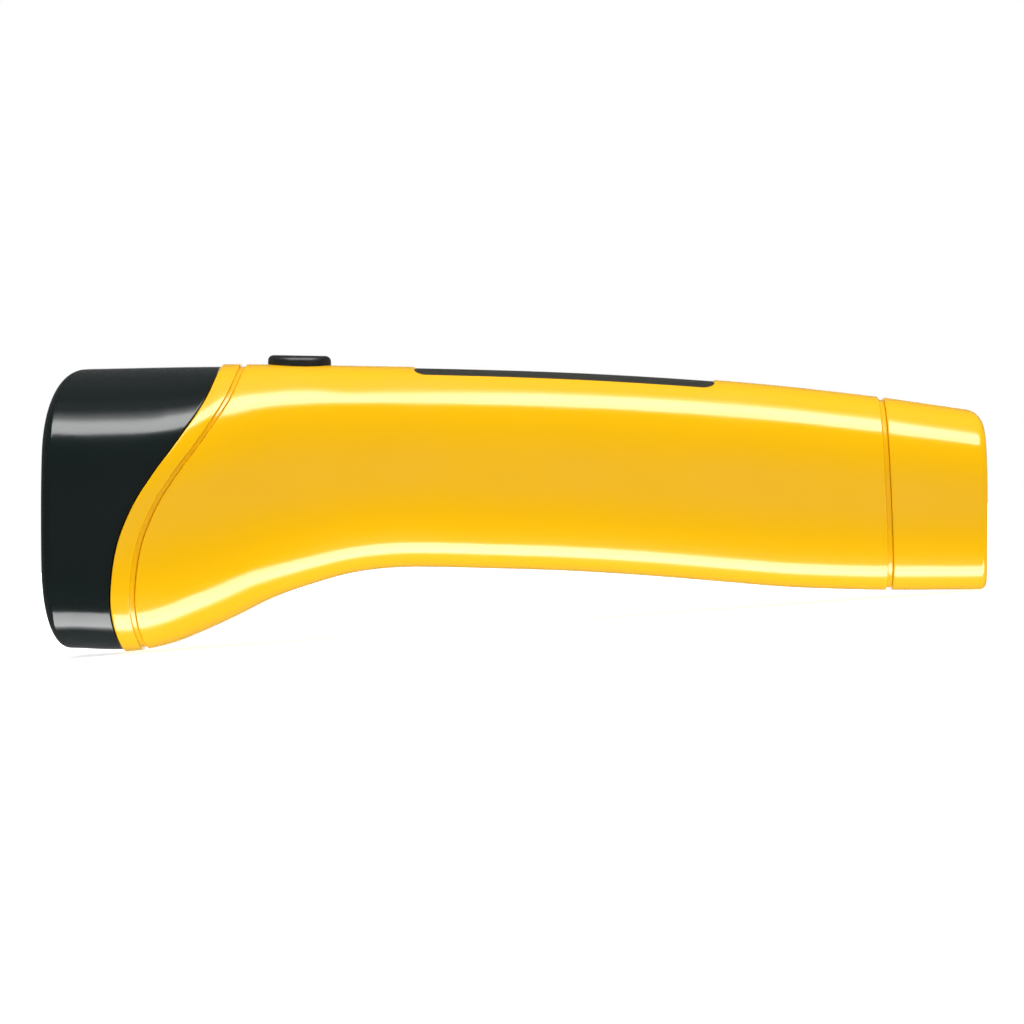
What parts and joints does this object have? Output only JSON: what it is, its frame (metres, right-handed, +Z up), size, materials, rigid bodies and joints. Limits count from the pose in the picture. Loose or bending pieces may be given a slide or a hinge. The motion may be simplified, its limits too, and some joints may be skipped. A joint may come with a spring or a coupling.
{
  "type": "hand crank flashlight",
  "caption": "Flashlight with a flared head, a curved handle, a push button, a removable tail cap and a folding hand crank geared to a generator.",
  "frame": {"origin": "centre of the bounding box at the surface that the flashlight lies on", "axes": "+X from the head to the tail, +Y to the crank side, +Z up; the flashlight lies on its collar and tail cap"},
  "size_m": [0.188, 0.051, 0.0571],
  "materials": {
    "yellow_plastic": "glossy moulded plastic",
    "black_gloss": "glossy moulded plastic",
    "black_button": "satin moulded plastic",
    "black_matte": "satin moulded plastic",
    "charcoal_plate": "satin inset plate, bare",
    "clear_lens": "clear polycarbonate",
    "led_body": "clear epoxy",
    "reflector_mirror": "vacuum metallised plastic",
    "steel": "zinc plated steel",
    "brass": "turned brass",
    "copper_wire": "enamelled copper winding",
    "magnet": "plated magnet",
    "black_rubber": "soft rubber",
    "red_wire": "insulated wire",
    "circuit_board": "solder mask",
    "gear_plastic": "natural acetal",
    "cell_wrap": "plain cell wrap"
  },
  "bodies": {
    "handle": {"left_shell": "yellow_plastic", "right_shell": "yellow_plastic", "front_collar": "yellow_plastic", "head_housing": "black_gloss", "label_plate": "charcoal_plate", "tail_seal": "black_rubber", "lens": "clear_lens", "lens_gasket": "black_rubber", "reflector": "reflector_mirror", "led_board": "circuit_board", "led_1": "led_body", "led_2": "led_body", "led_3": "led_body", "main_board": "circuit_board", "switch_housing": "black_matte", "gear_plate": "gear_plastic", "axle_1": "steel", "axle_2": "steel", "generator_can": "steel", "generator_coil": "copper_wire", "crank_bush": "brass", "shell_screw_1": "steel", "shell_screw_2": "steel", "shell_screw_3": "steel", "shell_screw_4": "steel", "plate_screw_1": "steel", "plate_screw_2": "steel", "battery_cradle": "black_matte", "front_contact_plate": "steel", "battery_1": "cell_wrap", "battery_2": "cell_wrap", "battery_3": "cell_wrap", "led_wire_red": "red_wire", "led_wire_black": "black_rubber", "cell_wire_red": "red_wire", "cell_wire_black": "black_rubber", "generator_wire_red": "red_wire", "generator_wire_black": "black_rubber"},
    "crank": {"crank_shaft": "steel", "main_gear": "gear_plastic", "crank_arm": "black_matte", "arm_screw": "steel", "knob_hinge_pin": "steel"},
    "knob": {"knob_stub": "black_matte", "knob_rivet": "steel"},
    "grip": {"knob_sleeve": "black_matte"},
    "first_gear": {"gear_1": "gear_plastic"},
    "second_gear": {"gear_2": "gear_plastic"},
    "rotor": {"rotor_magnet": "magnet", "rotor_shaft": "steel", "rotor_pinion": "brass"},
    "button": {"power_button": "black_button", "switch_plunger": "gear_plastic", "button_spring": "steel"},
    "cap": {"tail_cap": "yellow_plastic", "tail_contact_plate": "steel", "contact_spring_1": "steel", "contact_spring_2": "steel", "contact_spring_3": "steel"}
  },
  "joints": [
    {"name": "crank_turn", "type": "hinge", "parent": "handle", "child": "crank", "pos_m": [0.0242, 0.0214, 0.02787], "axis": [0, 1, 0], "continuous": true},
    {"name": "knob_fold", "type": "hinge", "parent": "crank", "child": "knob", "pos_m": [0.07365, 0.0214, 0.02047], "axis": [-0.148, 0, -0.989], "range_deg": [0, 90]},
    {"name": "knob_spin", "type": "hinge", "parent": "knob", "child": "grip", "pos_m": [0.07365, 0.0214, 0.02047], "axis": [0.989, 0, -0.148], "continuous": true},
    {"name": "gear_1_spin", "type": "hinge", "parent": "handle", "child": "first_gear", "pos_m": [0.00589, 0.002, 0.03012], "axis": [0, 1, 0], "continuous": true},
    {"name": "gear_2_spin", "type": "hinge", "parent": "handle", "child": "second_gear", "pos_m": [-0.01067, -0.0015, 0.03183], "axis": [0, 1, 0], "continuous": true},
    {"name": "rotor_spin", "type": "hinge", "parent": "handle", "child": "rotor", "pos_m": [-0.02638, -0.0015, 0.03299], "axis": [0, 1, 0], "continuous": true},
    {"name": "button_press", "type": "slide", "parent": "handle", "child": "button", "axis": [-0.0734, 0, -0.9973], "range_m": [0, 0.0012], "stiffness_N_per_m": 600, "springref_m": -0.0005, "deforming": ["button_spring"]},
    {"name": "tail_cap_slide", "type": "slide", "parent": "handle", "child": "cap", "axis": [0.9973, 0, -0.0734], "range_m": [0, 0.03]}
  ],
  "couplings": [
    {"joint": "gear_1_spin", "follows": "crank_turn", "ratio": -3.5556},
    {"joint": "gear_2_spin", "follows": "crank_turn", "ratio": 11.062},
    {"joint": "rotor_spin", "follows": "crank_turn", "ratio": -31.956}
  ]
}
